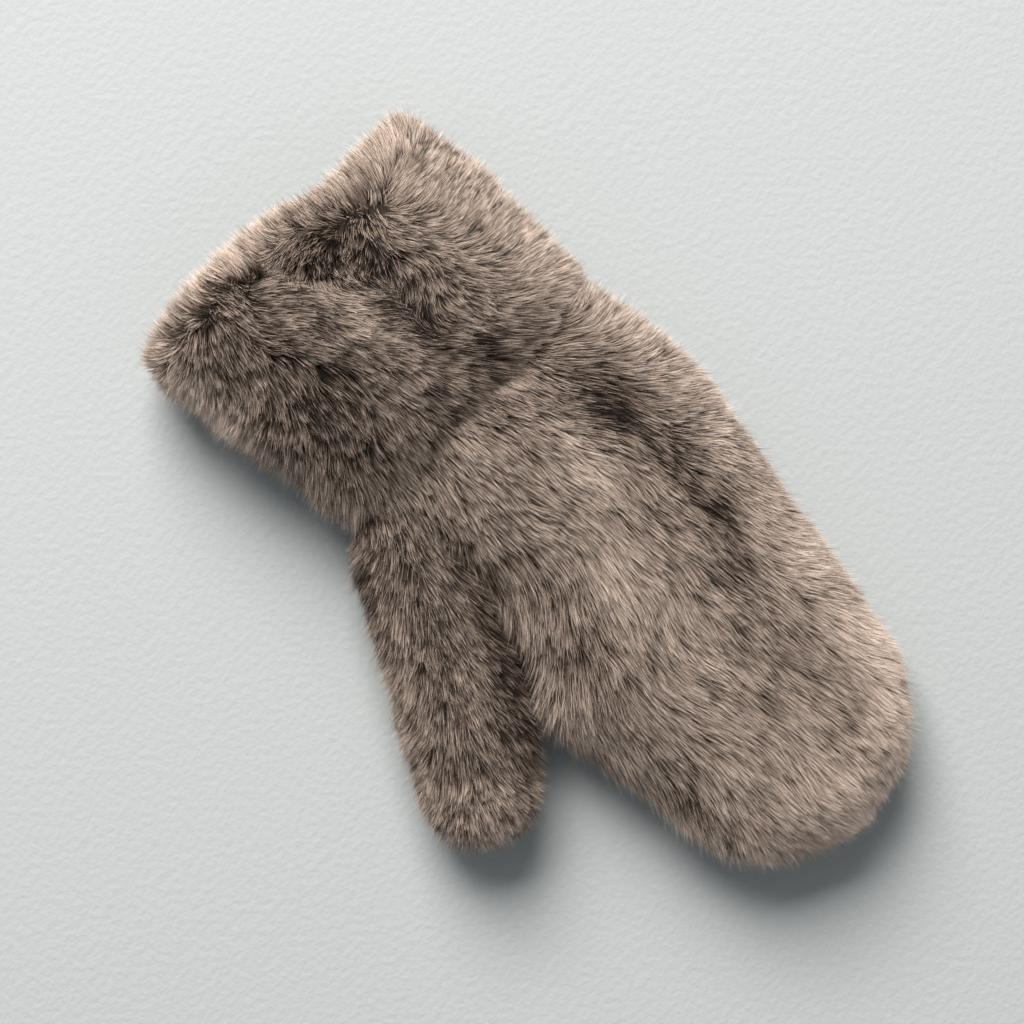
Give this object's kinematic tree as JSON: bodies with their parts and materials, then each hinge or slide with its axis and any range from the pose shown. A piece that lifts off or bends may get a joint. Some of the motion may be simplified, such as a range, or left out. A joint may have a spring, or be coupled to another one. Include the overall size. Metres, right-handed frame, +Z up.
{
  "type": "fur mitten",
  "caption": "Plush faux-fur mitten for the left hand, lying on its palm: a hollow hand with a slanting thumb and a thick turned-back fur cuff, open at the wrist.",
  "frame": {"origin": "on the surface the mitten lies on, under the middle of its overall length and width", "axes": "+Y along the hand from the open cuff to the fingertips, +X across the hand towards the thumb, +Z up from the palm to the back of the hand"},
  "size_m": [0.1624, 0.2716, 0.055],
  "materials": {
    "fur": "matte"
  },
  "bodies": {
    "root": {"cuff_back": "fur", "cuff_palm": "fur", "hand_back": "fur", "hand_palm": "fur", "thumb_back": "fur", "thumb_palm": "fur"}
  },
  "joints": []
}
